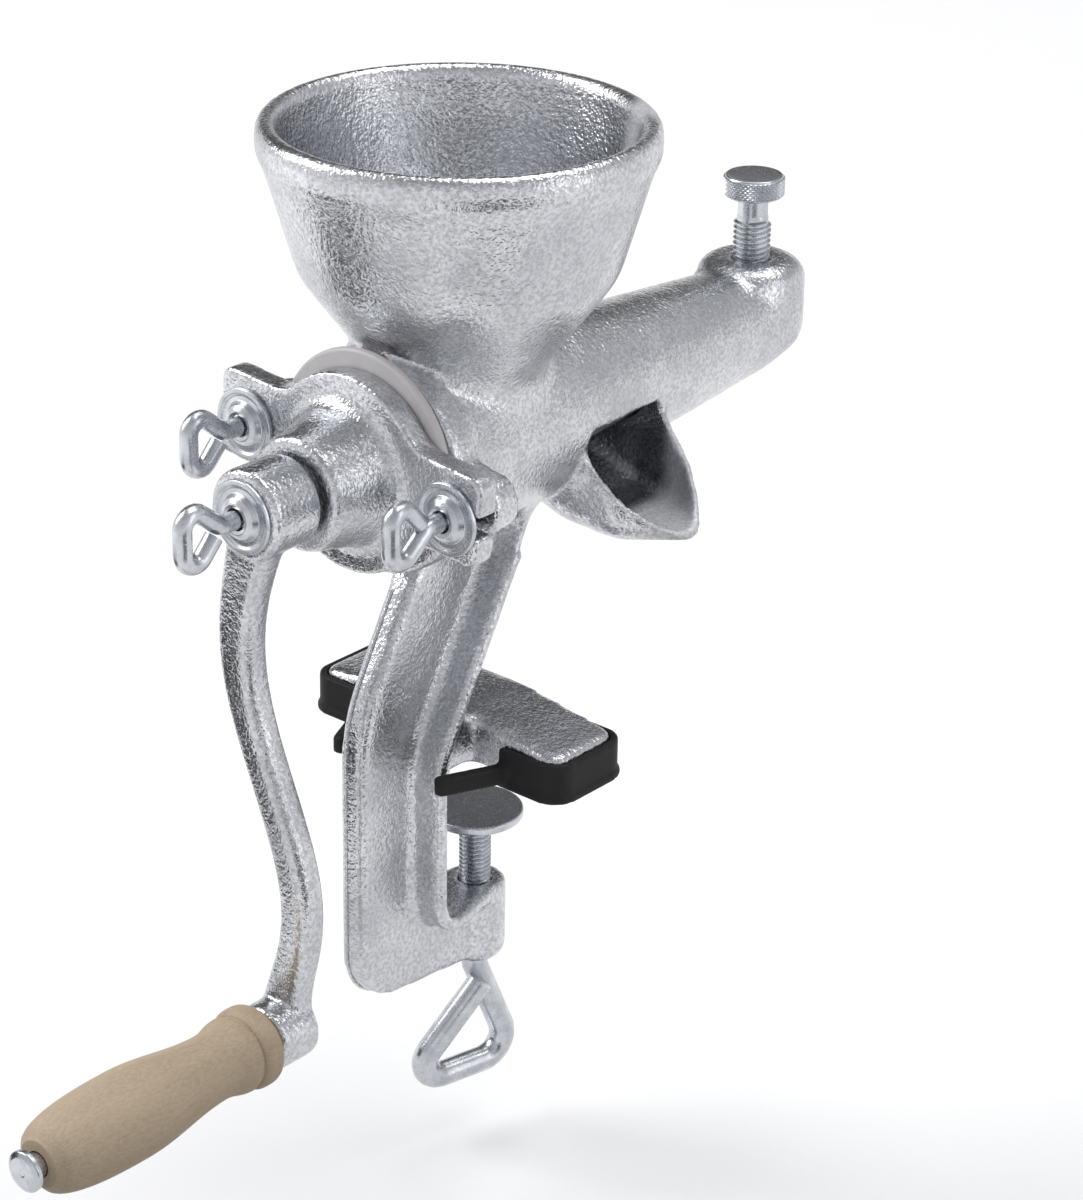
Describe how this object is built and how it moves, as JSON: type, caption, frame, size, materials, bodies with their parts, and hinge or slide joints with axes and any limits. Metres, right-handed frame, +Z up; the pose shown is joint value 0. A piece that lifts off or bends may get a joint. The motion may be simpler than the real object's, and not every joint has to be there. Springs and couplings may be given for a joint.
{
  "type": "hand-cranked fruit press",
  "caption": "Table-clamp fruit press with a hopper over an auger barrel, side juice spout, pulp-regulating screw, wire-eye screws, cranked wooden handle and rubber foot boots.",
  "frame": {"origin": "on the table top under the barrel, on the clamp screw's axis", "axes": "+Z up from the table top, +Y along the auger from the crank to the pulp outlet, +X towards the juice spout"},
  "size_m": [0.116, 0.3446, 0.3207],
  "materials": {
    "tinned_iron": "tinned, bright with a fine cast grain",
    "plated_steel": "zinc-plated, smooth",
    "sheet_steel": "stainless sheet, satin",
    "beech": "turned and sanded, satin",
    "black_rubber": "matte",
    "seal_rubber": "translucent, satin"
  },
  "bodies": {
    "mill": {"hopper": "tinned_iron", "barrel": "tinned_iron", "spout": "tinned_iron", "stand": "tinned_iron", "front_cover": "tinned_iron", "cover_seal": "seal_rubber", "strainer": "sheet_steel", "left_boot": "black_rubber", "right_boot": "black_rubber"},
    "crank": {"auger": "tinned_iron", "thrust_washer": "sheet_steel", "crank_arm": "tinned_iron", "handle_pin": "plated_steel"},
    "grip": {"wooden_handle": "beech"},
    "crank_washer": {"crank_washer": "plated_steel"},
    "crank_screw": {"crank_screw": "plated_steel"},
    "left_cover_washer": {"left_cover_washer": "plated_steel"},
    "left_cover_screw": {"left_cover_screw": "plated_steel"},
    "right_cover_washer": {"right_cover_washer": "plated_steel"},
    "right_cover_screw": {"right_cover_screw": "plated_steel"},
    "regulator": {"regulating_screw": "plated_steel"},
    "clamp_pad": {"clamp_pad": "plated_steel"},
    "clamp_screw": {"clamp_screw": "plated_steel"}
  },
  "joints": [
    {"name": "crank_turn", "type": "hinge", "parent": "mill", "child": "crank", "pos_m": [0, -0.067, 0.104], "axis": [0, 1, 0], "continuous": true},
    {"name": "grip_turn", "type": "hinge", "parent": "crank", "child": "grip", "pos_m": [0.008, -0.147, -0.0587], "axis": [0, 1, 0], "continuous": true},
    {"name": "crank_washer_slide", "type": "slide", "parent": "crank", "child": "crank_washer", "axis": [0, -1, 0], "range_m": [0, 0.003]},
    {"name": "crank_screw_turn", "type": "hinge", "parent": "crank_washer", "child": "crank_screw", "pos_m": [0, -0.0976, 0.104], "axis": [0, -1, 0], "range_deg": [0, 1081]},
    {"name": "left_cover_washer_slide", "type": "slide", "parent": "mill", "child": "left_cover_washer", "axis": [0, -1, 0], "range_m": [0, 0.003]},
    {"name": "left_cover_screw_turn", "type": "hinge", "parent": "left_cover_washer", "child": "left_cover_screw", "pos_m": [-0.03911, -0.057, 0.10897], "axis": [0, -1, 0], "range_deg": [0, 1081]},
    {"name": "right_cover_washer_slide", "type": "slide", "parent": "mill", "child": "right_cover_washer", "axis": [0, -1, 0], "range_m": [0, 0.003]},
    {"name": "right_cover_screw_turn", "type": "hinge", "parent": "right_cover_washer", "child": "right_cover_screw", "pos_m": [0.03936, -0.057, 0.10182], "axis": [0, -1, 0], "range_deg": [0, 1081]},
    {"name": "regulator_slide", "type": "slide", "parent": "mill", "child": "regulator", "axis": [0, 0, 1], "range_m": [-0.01, 0.006]},
    {"name": "clamp_pad_slide", "type": "slide", "parent": "mill", "child": "clamp_pad", "axis": [0, 0, 1], "range_m": [-0.018, 0.003]},
    {"name": "clamp_screw_turn", "type": "hinge", "parent": "clamp_pad", "child": "clamp_screw", "pos_m": [0, 0, -0.06], "axis": [0, 0, 1], "range_deg": [-4321, 721]}
  ],
  "couplings": [
    {"joint": "crank_screw_turn", "follows": "crank_washer_slide", "rad_per_m": 6283.2},
    {"joint": "left_cover_screw_turn", "follows": "left_cover_washer_slide", "rad_per_m": 6283.2},
    {"joint": "right_cover_screw_turn", "follows": "right_cover_washer_slide", "rad_per_m": 6283.2},
    {"joint": "clamp_screw_turn", "follows": "clamp_pad_slide", "rad_per_m": 4188.8}
  ]
}
